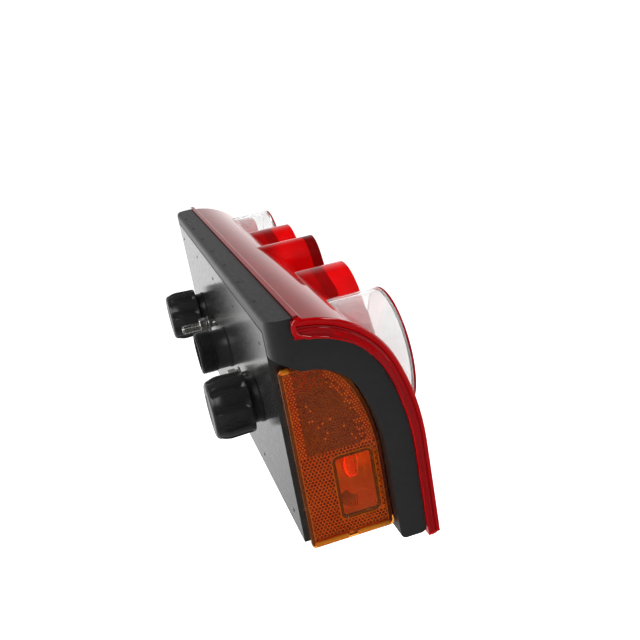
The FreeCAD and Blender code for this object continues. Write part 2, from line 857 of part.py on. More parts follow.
def make_breather():
    place = ("breather_x", "-breather_y")
    low, high = "plate_bottom - breather_proud", "plate_bottom + wall + breather_proud"
    stem = upright("breather_stem", "breather_radius", low, high, *place)
    head = upright("breather_head_disc", "breather_head", low, "plate_bottom", *place)
    keep("breather_plug", fuse("breather", stem, head))


# --- checking and writing ----------------------------------------------------------------


def check_document():
    doc.recompute()
    for item in doc.Objects:
        if {"Invalid", "Error"} & set(item.State):
            raise RuntimeError(f"{item.Name} is {item.State}")
    for label, item in nodes.items():
        if item.Shape.isNull() or not item.Shape.isValid() or not item.Shape.Solids:
            raise RuntimeError(f"{label} has no valid solid")


def write_parts():
    os.makedirs("parts", exist_ok=True)
    for label, item in nodes.items():
        item.Shape.exportStep(f"parts/{label}.step")
        print(f"{label}: {len(item.Shape.Solids)} solid(s), {item.Shape.Volume / 1000:.2f} cm3")


fill_sheet()
make_housing()
make_frame()
make_lens_gasket()
make_red_lens()
for chamber in CLEARS:
    make_clear_lens(chamber)
make_reflex_triangle()
make_panel()
for chamber, place_number in CHAMBERS.items():
    make_bowl(chamber, chamber_x(place_number))
    make_bulb(chamber, chamber_x(place_number))
    make_holder(chamber, chamber_x(place_number))
make_rails()
make_side_marker()
make_side_marker_bulb()
make_connectors()
for end, end_side in SIDES.items():
    make_cap(end, f"{end_side} * connector_x")
    make_nut(end, end_side)
make_studs()
make_lens_screws()
make_breather()
check_document()
write_parts()
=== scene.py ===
"""Looks for the trailer tail light: studio, camera, materials and detailed pieces."""

import json
import math
import random

import bmesh
import bpy
from mathutils import Matrix, Vector


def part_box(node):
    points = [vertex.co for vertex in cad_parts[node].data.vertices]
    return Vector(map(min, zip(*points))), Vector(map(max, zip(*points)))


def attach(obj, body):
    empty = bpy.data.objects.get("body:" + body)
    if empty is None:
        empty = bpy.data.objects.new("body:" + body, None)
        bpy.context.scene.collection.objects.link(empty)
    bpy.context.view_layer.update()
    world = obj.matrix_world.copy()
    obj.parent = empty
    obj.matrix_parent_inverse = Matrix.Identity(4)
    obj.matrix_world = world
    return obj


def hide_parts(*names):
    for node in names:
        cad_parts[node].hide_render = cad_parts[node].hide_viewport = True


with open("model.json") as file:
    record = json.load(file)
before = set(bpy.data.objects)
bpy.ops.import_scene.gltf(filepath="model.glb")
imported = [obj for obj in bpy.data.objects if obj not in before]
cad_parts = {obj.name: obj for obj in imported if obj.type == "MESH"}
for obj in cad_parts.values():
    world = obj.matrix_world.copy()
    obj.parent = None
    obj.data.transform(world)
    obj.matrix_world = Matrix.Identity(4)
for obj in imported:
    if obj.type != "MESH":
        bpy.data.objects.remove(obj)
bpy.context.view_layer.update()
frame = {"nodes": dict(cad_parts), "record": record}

MM = 0.001
scene = bpy.context.scene

# --- camera, studio and floor ------------------------------------------------------------

CAMERA_PLACE = (-0.69277, 0.07439, 0.24269)
CAMERA_AZIMUTH = -102.939
CAMERA_ELEVATION = 18.68
CAMERA_ROLL = -10.33
CAMERA_LENS = 47.64


def make_camera():
    """A camera tilted about its own line of sight; azimuth 0 looks along +Y."""
    turn, lift = math.radians(CAMERA_AZIMUTH), math.radians(CAMERA_ELEVATION)
    roll = math.radians(CAMERA_ROLL)
    back = Vector((math.sin(turn) * math.cos(lift), -math.cos(turn) * math.cos(lift), math.sin(lift)))
    right = (-back).cross(Vector((0, 0, 1))).normalized()
    upward = right.cross(-back)
    across = math.cos(roll) * right + math.sin(roll) * upward
    above = math.cos(roll) * upward - math.sin(roll) * right
    camera = bpy.data.objects.new("camera", bpy.data.cameras.new("camera"))
    camera.data.lens = CAMERA_LENS
    camera.data.sensor_width = 36
    camera.data.clip_start = 0.01
    pose = Matrix((across, above, back)).transposed().to_4x4()
    pose.translation = CAMERA_PLACE
    camera.matrix_world = pose
    scene.collection.objects.link(camera)
    scene.camera = camera


def link(tree, start, end):
    tree.links.new(start, end)


def map_range(tree, source, low, high, to_low, to_high):
    """Smoothly carries a number from one span to another."""
    node = tree.nodes.new("ShaderNodeMapRange")
    node.interpolation_type = "SMOOTHSTEP"
    link(tree, source, node.inputs["Value"])
    for name, number in (("From Min", low), ("From Max", high), ("To Min", to_low), ("To Max", to_high)):
        node.inputs[name].default_value = number
    return node.outputs["Result"]


def maths(tree, operation, first, second):
    """A Math node; each operand is a number or another node's output."""
    node = tree.nodes.new("ShaderNodeMath")
    node.operation = operation
    for socket, item in zip(node.inputs, (first, second)):
        if isinstance(item, (int, float)):
            socket.default_value = item
        else:
            link(tree, item, socket)
    return node.outputs[0]


def make_world():
    """A white studio: bright beyond the far end and low down, dim overhead and on the near side."""
    world = bpy.data.worlds.new("studio")
    scene.world = world
    world.use_nodes = True
    tree = world.node_tree
    background = tree.nodes["Background"]
    direction = tree.nodes.new("ShaderNodeSeparateXYZ")
    link(tree, tree.nodes.new("ShaderNodeTexCoord").outputs["Generated"], direction.inputs[0])
    along, upward = direction.outputs["X"], direction.outputs["Z"]
    glow = map_range(tree, along, -0.1, 0.75, 0.16, 1.0)
    low = map_range(tree, upward, -0.66, -0.2, 0.42, 1.2)
    high = map_range(tree, upward, -0.12, 0.25, 1.0, 0.3)
    overhead = map_range(tree, upward, 0.3, 0.75, 1.0, 0.12)
    height = maths(tree, "MULTIPLY", low, maths(tree, "MULTIPLY", high, overhead))
    paths = tree.nodes.new("ShaderNodeLightPath")
    seen = maths(tree, "MAXIMUM", paths.outputs["Is Camera Ray"], paths.outputs["Is Transmission Ray"])
    lit = maths(tree, "MULTIPLY", glow, height)
    strength = maths(tree, "MAXIMUM", lit, maths(tree, "MULTIPLY", seen, 1.1))
    link(tree, strength, background.inputs["Strength"])
    background.inputs["Color"].default_value = (1, 1, 1, 1)


def softbox(name, place, target, size, power, mirrored=True):
    """A square or oblong lamp aimed at a point; one that isn't mirrored lights only matt surfaces."""
    data = bpy.data.lights.new(name, "AREA")
    data.shape, data.size, data.size_y = "RECTANGLE", size[0], size[1]
    data.energy = power
    lamp = bpy.data.objects.new(name, data)
    lamp.location = place
    lamp.rotation_euler = (Vector(target) - Vector(place)).to_track_quat("-Z", "Y").to_euler()
    lamp.visible_glossy = mirrored
    lamp.visible_transmission = mirrored
    scene.collection.objects.link(lamp)


def make_floor():
    """A plain pale floor that glows a little, so that it reads as white paper."""
    mesh = bpy.data.meshes.new("floor")
    half, level = 6.0, -0.34
    corners = [(-half, -half, level), (half, -half, level), (half, half, level), (-half, half, level)]
    mesh.from_pydata(corners, [], [(0, 1, 2, 3)])
    floor = bpy.data.objects.new("floor", mesh)
    floor.visible_glossy = False
    scene.collection.objects.link(floor)
    material, tree, shader = new_material("pale_floor", 0.6)
    tint(tree, shader, (0.9, 0.9, 0.9), (0.93, 0.93, 0.93), 3.0)
    shader.inputs["Specular IOR Level"].default_value = 0
    shader.inputs["Emission Color"].default_value = (1, 1, 1, 1)
    shader.inputs["Emission Strength"].default_value = 0.95
    mesh.materials.append(material)


# --- materials ---------------------------------------------------------------------------


def new_material(name, roughness, metallic=0.0, ior=1.5):
    material = bpy.data.materials.new(name)
    material.use_nodes = True
    tree = material.node_tree
    shader = tree.nodes["Principled BSDF"]
    shader.inputs["Roughness"].default_value = roughness
    shader.inputs["Metallic"].default_value = metallic
    shader.inputs["IOR"].default_value = ior
    return material, tree, shader


def noise(tree, scale, detail=3.0):
    """Noise in object space, in metres; scale is lumps in a metre."""
    coordinates = tree.nodes.new("ShaderNodeTexCoord")
    texture = tree.nodes.new("ShaderNodeTexNoise")
    texture.inputs["Scale"].default_value = scale
    texture.inputs["Detail"].default_value = detail
    link(tree, coordinates.outputs["Object"], texture.inputs["Vector"])
    return texture.outputs["Fac"]


def tint(tree, shader, dark, light, scale):
    """The base colour drifts between two near shades."""
    ramp = tree.nodes.new("ShaderNodeValToRGB")
    ramp.color_ramp.elements[0].position, ramp.color_ramp.elements[1].position = 0.3, 0.7
    ramp.color_ramp.elements[0].color = (*dark, 1)
    ramp.color_ramp.elements[1].color = (*light, 1)
    link(tree, noise(tree, scale), ramp.inputs["Fac"])
    link(tree, ramp.outputs["Color"], shader.inputs["Base Color"])


def vary_roughness(tree, shader, low, high, scale):
    link(tree, map_range(tree, noise(tree, scale), 0.3, 0.7, low, high), shader.inputs["Roughness"])


def grain(tree, shader, scale, height):
    """Fine surface relief, in metres."""
    bump = tree.nodes.new("ShaderNodeBump")
    bump.inputs["Distance"].default_value = height
    bump.inputs["Strength"].default_value = 1.0
    link(tree, noise(tree, scale, 2.0), bump.inputs["Height"])
    link(tree, bump.outputs["Normal"], shader.inputs["Normal"])


def plastic(name, dark, light, rough, scale=60, relief=None):
    material, tree, shader = new_material(name, rough[0])
    tint(tree, shader, dark, light, scale)
    vary_roughness(tree, shader, *rough, scale * 0.7)
    if relief:
        grain(tree, shader, *relief)
    return material


def glossy_coat(shader):
    shader.inputs["Coat Weight"].default_value = 1.0
    shader.inputs["Coat Roughness"].default_value = 0.03
    shader.inputs["Coat IOR"].default_value = 1.49


def dense_shader(name, through, blur):
    """Plastic that blurs what is behind it, under a clear gloss, before it has a colour."""
    material, tree, shader = new_material(name, blur, ior=1.49)
    shader.inputs["Transmission Weight"].default_value = through
    shader.inputs["Specular IOR Level"].default_value = 0.0
    glossy_coat(shader)
    return material, tree, shader


def dense(name, dark, light, through, blur):
    """Deeply tinted plastic."""
    material, tree, shader = dense_shader(name, through, blur)
    tint(tree, shader, dark, light, 40)
    return material


def change_along(material, axis, start, end, colour):
    """Along an object axis, from start to end in metres, the colour passes to another one."""
    tree = material.node_tree
    shader = tree.nodes["Principled BSDF"]
    base = shader.inputs["Base Color"].links[0].from_socket
    place = tree.nodes.new("ShaderNodeSeparateXYZ")
    link(tree, tree.nodes.new("ShaderNodeTexCoord").outputs["Object"], place.inputs[0])
    mix = tree.nodes.new("ShaderNodeMix")
    mix.data_type = "RGBA"
    link(tree, map_range(tree, place.outputs[axis], start, end, 0.0, 1.0), mix.inputs["Factor"])
    link(tree, base, mix.inputs["A"])
    mix.inputs["B"].default_value = (*colour, 1)
    link(tree, mix.outputs["Result"], shader.inputs["Base Color"])


def bands(tree, source, stops):
    """A colour ramp over a length in metres; stops are (place, red) from low to high."""
    low, high = stops[0][0], stops[-1][0]
    ramp = tree.nodes.new("ShaderNodeValToRGB")
    elements = ramp.color_ramp.elements
    while len(elements) < len(stops):
        elements.new(0.5)
    for element, (place, red) in zip(elements, stops):
        element.position = (place - low) / (high - low)
        element.color = (red, 0.0, 0.0015 * red, 1)
    node = tree.nodes.new("ShaderNodeMapRange")
    link(tree, source, node.inputs["Value"])
    node.inputs["From Min"].default_value, node.inputs["From Max"].default_value = low, high
    link(tree, node.outputs["Result"], ramp.inputs["Fac"])
    return ramp.outputs["Color"]


def red_lens_with_painted_light():
    """The red lens: deep over its body; over each chamber its colour holds painted light, brightest at the
    front where light comes through, and a painted shade band where the chamber's wall is double.
    """
    material, tree, shader = dense_shader("red_lens", 0.4, 0.2)
    place = tree.nodes.new("ShaderNodeSeparateXYZ")
    link(tree, tree.nodes.new("ShaderNodeTexCoord").outputs["Object"], place.inputs[0])
    across, depth, height = (place.outputs[axis] for axis in "XYZ")
    # depth wanders a little with height, as the collars' wavy front edges do, so the painted shade band's
    # edge is wavy too
    waves_in_a_metre, wave_height = 330.0, 0.0007
    wave = maths(tree, "SINE", maths(tree, "MULTIPLY", height, waves_in_a_metre), 0.0)
    wavy = maths(tree, "ADD", depth, maths(tree, "MULTIPLY", wave, wave_height))
    # painted light and shade down the round chambers: bright at the front, a dark band behind it, lighter
    # again further back
    round_painted_light = bands(tree, wavy, ((-0.095, 0.92), (-0.0745, 0.95), (-0.0735, 0.38), (-0.0655, 0.36),
                                   (-0.0635, 0.52), (-0.050, 0.44), (-0.030, 0.34)))
    # painted light and shade over the triangular middle chamber: darker at its front face, bright behind it
    centre_painted_light = bands(tree, depth, ((-0.095, 0.24), (-0.0825, 0.24), (-0.0815, 0.80), (-0.060, 0.82),
                                     (-0.050, 0.46), (-0.040, 0.34), (-0.030, 0.34)))
    centre_half_width, centre_foot = 0.0425, -0.004
    inside = maths(tree, "LESS_THAN", maths(tree, "ABSOLUTE", across, 0.0), centre_half_width)
    raised = maths(tree, "GREATER_THAN", height, centre_foot)
    mix = tree.nodes.new("ShaderNodeMix")
    mix.data_type = "RGBA"
    link(tree, maths(tree, "MULTIPLY", inside, raised), mix.inputs["Factor"])
    link(tree, round_painted_light, mix.inputs["A"])
    link(tree, centre_painted_light, mix.inputs["B"])
    mottle = tree.nodes.new("ShaderNodeMix")
    mottle.data_type, mottle.blend_type = "RGBA", "MULTIPLY"
    link(tree, mix.outputs["Result"], mottle.inputs["A"])
    mottle.inputs["B"].default_value = (0.82, 1, 1, 1)
    link(tree, map_range(tree, noise(tree, 45), 0.35, 0.65, 0.0, 1.0), mottle.inputs["Factor"])
    link(tree, mottle.outputs["Result"], shader.inputs["Base Color"])
    return material


def glow(material, colour, strength):
    """Painted light: an emission that stands in for light let in by the translucent wall around it; the part
    is no lamp.
    """
    shader = material.node_tree.nodes["Principled BSDF"]
    shader.inputs["Emission Color"].default_value = (*colour, 1)
    shader.inputs["Emission Strength"].default_value = strength


def glass(name, dark, light, rough, through=1.0):
    """A thin clear wall: hardly any bending of what is behind it, and a glossy coat."""
    material, tree, shader = new_material(name, rough, ior=1.06)
    tint(tree, shader, dark, light, 40)
    shader.inputs["Transmission Weight"].default_value = through
    glossy_coat(shader)
    return material


def metal(name, dark, light, rough, scale=400, part=1.0):
    """Bare or plated metal; part is how much of it is metal and not white."""
    material, tree, shader = new_material(name, rough[0], metallic=part)
    tint(tree, shader, dark, light, scale)
    vary_roughness(tree, shader, *rough, scale)
    return material


def make_materials():
    materials = {
        "black_gloss_plastic": plastic(
            "gloss_black", (0.022, 0.022, 0.022), (0.030, 0.030, 0.029), (0.17, 0.22), 250, (900, 1e-6)
        ),
        "black_matt_plastic": plastic(
            "matt_black", (0.016, 0.016, 0.017), (0.020, 0.020, 0.021), (0.40, 0.45), 350, (4000, 4e-6)
        ),
        "connector_plastic": plastic(
            "connector_black", (0.010, 0.010, 0.011), (0.016, 0.016, 0.017), (0.35, 0.5), 90, (2500, 6e-6)
        ),
        "cap_plastic": plastic(
            "cap_black", (0.014, 0.014, 0.015), (0.018, 0.018, 0.019), (0.27, 0.33), 200, (1500, 2e-6)
        ),
        "black_rubber": plastic("rubber", (0.014, 0.014, 0.014), (0.022, 0.022, 0.022), (0.7, 0.85), 120),
        "red_lens_plastic": red_lens_with_painted_light(),
        "red_reflex_plastic": dense("red_reflex", (0.20, 0.0, 0.001), (0.26, 0.0, 0.002), 0.2, 0.3),
        "clear_lens_plastic": glass("clear_lens", (0.97, 0.97, 0.97), (0.99, 0.99, 0.99), 0.02, 0.88),
        "amber_lens_plastic": glass("amber_lens", (0.74, 0.26, 0.03), (0.80, 0.31, 0.04), 0.04),
        "white_plastic": plastic("white", (0.72, 0.72, 0.70), (0.80, 0.80, 0.78), (0.35, 0.45), 50),
        "reflector_chrome": metal("chrome", (0.86, 0.86, 0.86), (0.92, 0.92, 0.92), (0.06, 0.14), 90, 0.6),
        "bulb_glass": glass("bulb_clear", (0.96, 0.96, 0.96), (0.99, 0.99, 0.99), 0.01),
        "amber_bulb_glass": dense("bulb_amber", (0.86, 0.34, 0.03), (0.95, 0.42, 0.04), 0.5, 0.05),
        "nickel_contact": metal("nickel", (0.60, 0.58, 0.54), (0.72, 0.70, 0.66), (0.2, 0.35)),
        "brass": metal("brass", (0.72, 0.52, 0.20), (0.80, 0.60, 0.26), (0.25, 0.4)),
        "zinc_steel": metal("zinc", (0.66, 0.65, 0.62), (0.80, 0.79, 0.76), (0.22, 0.32)),
        "stainless_steel": metal("stainless", (0.55, 0.55, 0.55), (0.70, 0.70, 0.70), (0.25, 0.4)),
        # colours of the side marker's inside, seen through its amber skin; the bulb's red and glow, the
        # glints, the prisms' lit and shaded copies, the web's lighter low part and the dish's glow are
        # painted light
        "painted_red_bulb": dense("bulb_painted_red", (0.60, 0.04, 0.01), (0.70, 0.06, 0.02), 0.3, 0.1),
        "ruby_glint": plastic("glint_ruby", (0.90, 0.05, 0.01), (1.0, 0.08, 0.02), (0.2, 0.3), 300),
        # lit and shaded copies of the amber prisms: painted highlight, painted deep shade, painted shade and
        # painted red light
        "prism_bright": plastic("prism_bright", (0.90, 0.42, 0.06), (1.0, 0.52, 0.08), (0.12, 0.2), 300),
        "prism_pit": plastic("prism_pit", (0.060, 0.008, 0.001), (0.10, 0.014, 0.002), (0.3, 0.4), 300),
        "prism_dull": plastic("prism_dull", (0.11, 0.016, 0.003), (0.15, 0.024, 0.004), (0.25, 0.35), 300),
        "prism_ruby": plastic("prism_ruby", (0.34, 0.012, 0.002), (0.42, 0.022, 0.003), (0.2, 0.3), 300),
        "amber_line": plastic("line_amber", (0.36, 0.13, 0.022), (0.46, 0.17, 0.030), (0.2, 0.3), 300),
        "amber_border": plastic("border_amber", (0.06, 0.014, 0.003), (0.09, 0.02, 0.004), (0.2, 0.3), 120),
        "amber_bead": dense("bead_amber", (0.62, 0.19, 0.010), (0.70, 0.23, 0.014), 0.25, 0.1),
        "amber_web": plastic("web_amber", (0.17, 0.038, 0.008), (0.22, 0.050, 0.010), (0.25, 0.35), 200),
        "amber_dish": metal("dish_amber", (0.75, 0.34, 0.10), (0.85, 0.42, 0.14), (0.25, 0.4), 60),
        # tones of the red lens's plastic on its added ridges, beads and ribs: the highlit red is a painted
        # lit copy, and the ridge red is lighter than the rim red as painted light
        "red_rim": dense("rim_red", (0.30, 0.0, 0.002), (0.36, 0.0, 0.003), 0.2, 0.15),
        "red_bright": dense("highlit_red", (0.78, 0.0, 0.001), (0.86, 0.0, 0.002), 0.2, 0.1),
        "red_ridge": dense("ridge_red", (0.38, 0.0, 0.001), (0.44, 0.0, 0.002), 0.2, 0.1),
        "red_collar": dense("collar_red", (0.55, 0.004, 0.008), (0.66, 0.006, 0.012), 0.6, 0.15),
    }
    # painted light: the bulb, its glints and the reflector box with its window sleeve glow, though none is
    # lit
    glow(materials["painted_red_bulb"], (0.8, 0.06, 0.01), 0.3)
    glow(materials["ruby_glint"], (1.0, 0.05, 0.02), 1.0)
    glow(materials["amber_dish"], (0.75, 0.26, 0.03), 0.07)
    # painted light: the web is lighter between the coarse prisms low down than between the fine ones above
    change_along(materials["amber_web"], "Z", -0.0125, -0.0155, (0.78, 0.27, 0.045))
    return materials


def dress(node, material):
    """Gives a CAD node its material; its mesh stays as it came."""
    node.data.materials.clear()
    node.data.materials.append(material)


# --- mesh building -----------------------------------------------------------------------


def piece(name, vertices, faces, slot, body="root", replaced=(), sharp=32, slot_name=None):
    """A mesh in millimetres becomes a piece of the object."""
    mesh = bpy.data.meshes.new(name)
    mesh.from_pydata([Vector(v) * MM for v in vertices], [], faces)
    return finish_piece(name, mesh, slot, body, replaced, sharp)


def finish_piece(name, mesh, slot, body, replaced, sharp):
    """Cleans a mesh, gives it its material, and makes it ride on its body."""
    tidy = bmesh.new()
    tidy.from_mesh(mesh)
    bmesh.ops.remove_doubles(tidy, verts=tidy.verts, dist=1e-7)
    bmesh.ops.recalc_face_normals(tidy, faces=tidy.faces)
    tidy.to_mesh(mesh)
    tidy.free()
    mesh.materials.append(MATERIALS[slot])
    mesh.shade_smooth()
    mesh.set_sharp_from_angle(angle=math.radians(sharp))
    thing = bpy.data.objects.new(name, mesh)
    scene.collection.objects.link(thing)
    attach(thing, body)
    if replaced:
        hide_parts(*replaced)
    return thing


def grid_faces(rows, columns, close_rows=True):
    """Quads over a grid of vertices numbered row by row; each row is a ring."""
    faces = []
    for row in range(rows if close_rows else rows - 1):
        for column in range(columns):
            beside, below = (column + 1) % columns, (row + 1) % rows
            faces.append((
                row * columns + column, row * columns + beside,
                below * columns + beside, below * columns + column,
            ))
    return faces


def swept_faces(stations, width):
    """Quads along a closed section of some width swept through stations, with both ends closed."""
    last = (stations - 1) * width
    ends = [tuple(range(width)), tuple(last + i for i in reversed(range(width)))]
    return grid_faces(stations, width, close_rows=False) + ends


def turned(outline, across, upward, around, radius=lambda y, r, turn: r):
    """A closed outline of (y, r) turned about a line along Y; radius can shape it by angle."""
    vertices = []
    for y, r in outline:
        for step in range(around):
            turn = math.tau * step / around
            reach = radius(y, r, turn)
            vertices.append((across + reach * math.sin(turn), y, upward + reach * math.cos(turn)))
    return vertices, grid_faces(len(outline), around)


def joined(*parts):
    """Several (vertices, faces) pairs as one."""
    vertices, faces = [], []
    for some_vertices, some_faces in parts:
        start = len(vertices)
        vertices += some_vertices
        faces += [tuple(start + i for i in face) for face in some_faces]
    return vertices, faces


def spread(low, high, count):
    """Evenly spaced numbers from low to high, both included."""
    return [low + (high - low) * i / (count - 1) for i in range(count)]


def middle(node):
    """The middle of a CAD node's box across the back, in millimetres."""
    low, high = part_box(node)
    return (low[0] + high[0]) / 2 / MM, (low[2] + high[2]) / 2 / MM


def middle_y(node):
    """The middle of a CAD node's box in depth, in millimetres."""
    low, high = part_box(node)
    return (low[1] + high[1]) / 2 / MM


def span(node, axis):
    """A CAD node's lowest and highest place along an axis, in millimetres."""
    low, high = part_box(node)
    return low[axis] / MM, high[axis] / MM


def screw_ridge(across, upward, low, high, lead, root, crest, width, start=0.0, steps=60):
    """One closed ridge of a right-hand screw thread; both its ends taper away."""
    stations = int((high - low) / lead * steps)
    vertices = []
    for i in range(stations + 1):
        turn = start + math.tau * i / steps
        y = low + lead * i / steps
        top = root + (crest - root) * min(1.0, (i + 1) / 12, (stations - i + 1) / 12)
        for shift, reach in ((-0.5, root - 0.05), (-0.16, top), (0.16, top), (0.5, root - 0.05)):
            vertices.append((across + reach * math.sin(turn), y + shift * width,
                             upward + reach * math.cos(turn)))
    return vertices, swept_faces(stations + 1, 4)


# --- threads, nuts and washers -----------------------------------------------------------

CONNECTOR_PITCH, CONNECTOR_DEPTH, CONNECTOR_STARTS = 1.25, 0.75, 2
STUD_PITCH, STUD_DEPTH = 1.25, 0.62


def make_connector_body(side):
    """A barrel with a screw thread over its outer half and a plain bore."""
    node = "connector_body_" + side
    across, upward = middle(node)
    front, rear = span(node, 1)
    crest, barrel, bore, spigot = 18.2, 17.0, 14.2, 16.0
    root, start = crest - CONNECTOR_DEPTH, 12.3
    outline = [(rear - 0.5, bore), (rear, bore + 0.5), (rear, crest - 1.2), (rear - 0.5, root)]
    outline += [(start + 0.4, root), (start, barrel), (start - 0.8, barrel), (2.2, barrel)]
    outline += [(1.4, barrel + 0.6), (0.1, barrel + 0.6), (0.1, spigot), (front, spigot), (front, bore)]
    ridges = [
        screw_ridge(across, upward, start + 1.2, rear - 1.0, CONNECTOR_PITCH * CONNECTOR_STARTS, root, crest,
                    CONNECTOR_PITCH * 0.86, math.tau * number / CONNECTOR_STARTS, 96)
        for number in range(CONNECTOR_STARTS)
    ]
    piece(node + "_moulded", *joined(turned(outline, across, upward, 120), *ridges), "connector_plastic",
          replaced=(node,), sharp=40)


def make_studs():
    """Two threaded studs with flat square heads inside the housing."""
    front, rear = span("mounting_studs", 1)
    parts = []
    for side in ("near", "far"):
        across, upward = middle("stud_nut_" + side)
        crest, shank, head = 4.0, 3.6, 6.5
        root = crest - STUD_DEPTH
        outline = [(rear, 0.02), (rear, crest - 0.8), (rear - 0.4, root), (0.4, root), (0.0, shank)]
        outline += [(-4.4, shank), (-4.4, head), (front, head), (front, 0.02)]

        def shape(y, r, turn):
            return head / max(abs(math.cos(turn)), abs(math.sin(turn))) if r == head else r

        parts.append(turned(outline, across, upward, 48, shape))
        parts.append(screw_ridge(across, upward, 1.0, rear - 0.9, STUD_PITCH, root, crest,
                                 STUD_PITCH * 0.86, steps=36))
    piece("mounting_studs_threaded", *joined(*parts), "zinc_steel", replaced=("mounting_studs",), sharp=40)


def make_nut(side):
    """A hexagon nut, chamfered at both ends, with a countersunk bore whose thread is not drawn."""
    node = "stud_nut_" + side
    across, upward = middle(node)
    low, high = span(node, 1)
    corner, bore, chamfer = 7.5, 4.08, 0.8
    flat = corner * math.cos(math.radians(30))
    outline = [(low, bore + 0.5), (low, flat - 0.1), (low + chamfer * 0.35, flat + 0.45)]
    outline += [(low + chamfer, corner), (high - chamfer, corner), (high - chamfer * 0.35, flat + 0.45)]
    outline += [(high, flat - 0.1), (high, bore + 0.5), (high - 0.5, bore), (low + 0.5, bore)]

    def shape(y, r, turn):
        if r < flat - 0.2:
            return r
        sector = (turn + math.radians(30)) % math.radians(60) - math.radians(30)
        return min(r, flat / math.cos(sector))

    piece(node + "_cut", *turned(outline, across, upward, 72, shape), "zinc_steel", "nut_" + side,
          replaced=(node,), sharp=20)


def make_washers(side):
    """A flat washer with eased edges, and a split spring washer in front of it."""
    node = "flat_washer_" + side
    across, upward = middle(node)
    low, high = span(node, 1)
    outer, bore, ease = 8.0, 4.3, 0.25
    outline = [(low + ease, outer), (low, outer - ease), (low, bore + ease), (low + ease, bore)]
    outline += [(high - ease, bore), (high, bore + ease), (high, outer - ease), (high - ease, outer)]
    piece(node + "_eased", *turned(outline, across, upward, 64), "zinc_steel", "washers_" + side,
          replaced=(node,), sharp=30)
    node = "spring_washer_" + side
    low, high = span(node, 1)
    outer, half = 6.6, (high - low) * 0.36
    vertices, gap, steps = [], math.radians(7), 60
    for step in range(steps + 1):
        turn = gap + (math.tau - 2 * gap) * step / steps
        centre = low + half + (high - low - 2 * half) * step / steps
        for y, r in ((-half, bore), (half, bore), (half, outer), (-half, outer)):
            vertices.append((across + r * math.sin(turn), centre + y, upward + r * math.cos(turn)))
    piece(node + "_split", vertices, swept_faces(steps + 1, 4), "zinc_steel", "washers_" + side,
          replaced=(node,), sharp=30)


# --- screw caps --------------------------------------------------------------------------

CAP_LOBES = 10


def make_cap(side):
    """A screw cap with broad grips parted by grooves, and a rounded, slightly sunk end."""
    node = "cap_" + side
    across, upward = middle(node)
    rear, end = span(node, 1)
    rim, belly, shoulder, bore, ease = 22.6, 23.3, 20.6, 18.28, 3.7
    groove_depth = 2.6
    outline = [(28.8, 0.02), (28.8, bore), (rear + 0.6, bore), (rear, bore + 0.6), (rear, rim - 0.7)]
    outline += [(rear + 0.6, rim)]
    outline += [(y, rim + (belly - rim) * (y - rear) / 18) for y in spread(rear + 1.6, 24.5, 14)]
    for y in spread(25.3, 32.5, 9):
        outline.append((y, belly - (belly - shoulder - 1.0) * ((y - 24.5) / 8.0) ** 2))
    for angle in (0, 18, 36, 54, 70, 82, 90):
        a = math.radians(angle)
        outline.append((end - ease + ease * math.sin(a), shoulder + 1.0 - ease + ease * math.cos(a)))
    outline += [(end, 15.0), (end - 0.05, 12.0), (end - 0.5, 11.2), (end - 0.55, 6.0), (end - 0.55, 0.02)]

    def shape(y, r, turn):
        if r < rim - 1.0 and y < 31:
            return r
        lobe = (turn / math.tau * CAP_LOBES) % 1.0
        distance = abs(lobe - 0.5) * 2
        groove = max(0.0, 1 - ((1 - distance) / 0.5) ** 2) if distance > 0.5 else 0.0
        fade = min(1.0, max(0.0, (y - rear - 1.4) / 3.0)) * min(1.0, max(0.0, (end - 1.5 - y) / 6.0))
        return r - groove_depth * groove * fade ** 0.7

    piece(node + "_fluted", *turned(outline, across, upward, 160, shape), "cap_plastic", node,
          replaced=(node,), sharp=50)


# --- the lens's end profile --------------------------------------------------------------

ARC_DEPTH, ARC_HEIGHT, ARC_RADIUS = 17.0, 19.0, 65.0
ARC_TURN = math.radians(68)
FRONT_RADIUS = 165.0


def profile_point(turn, inset, drop):
    """(y, z) at a turn from upright on the end profile's two arcs, inset and lowered."""
    extra = FRONT_RADIUS - ARC_RADIUS if turn > ARC_TURN else 0.0
    reach = ARC_RADIUS + extra - inset
    y = -ARC_DEPTH + extra * math.sin(ARC_TURN) - reach * math.sin(turn)
    z = ARC_HEIGHT - drop - extra * math.cos(ARC_TURN) + reach * math.cos(turn)
    return y, z


def profile_path(inset, drop, foot, arc_points=46, front_points=20):
    """Points down the profile's arcs and then straight down to a foot."""
    points = [profile_point(turn, inset, drop) for turn in spread(0, math.pi / 2, arc_points)]
    y, low = points[-1]
    return points + [(y, z) for z in spread(low, foot, front_points)[1:]]


# --- side marker -------------------------------------------------------------------------

MARKER_INSET, MARKER_DROP = 27.3, 7.0
WINDOW_Y, WINDOW_Z = (-54.2, -28.8), (-64.2, -20.1)
FINE_PRISMS_ABOVE = -14.5


def inside_marker(y, z, margin):
    """Whether a point lies inside the side marker's outline, less a margin."""
    foot, rear = span("side_marker_lens", 2)[0], span("side_marker_lens", 1)[1]
    if y > rear - margin or z < foot + margin:
        return False
    inset, centre_z = MARKER_INSET + margin, ARC_HEIGHT - MARKER_DROP
    turn = math.atan2(-(y + ARC_DEPTH), z - centre_z)
    if turn <= 0:
        return z < centre_z + ARC_RADIUS - inset
    if turn < ARC_TURN:
        return math.hypot(y + ARC_DEPTH, z - centre_z) < ARC_RADIUS - inset
    extra = FRONT_RADIUS - ARC_RADIUS
    centre_y = -ARC_DEPTH + extra * math.sin(ARC_TURN)
    centre_z -= extra * math.cos(ARC_TURN)
    if z < centre_z:
        return y > centre_y - FRONT_RADIUS + inset
    return math.hypot(y - centre_y, z - centre_z) < FRONT_RADIUS - inset


def near_window(y, z, margin):
    return (WINDOW_Y[0] - margin < y < WINDOW_Y[1] + margin
            and WINDOW_Z[0] - margin < z < WINDOW_Z[1] + margin)


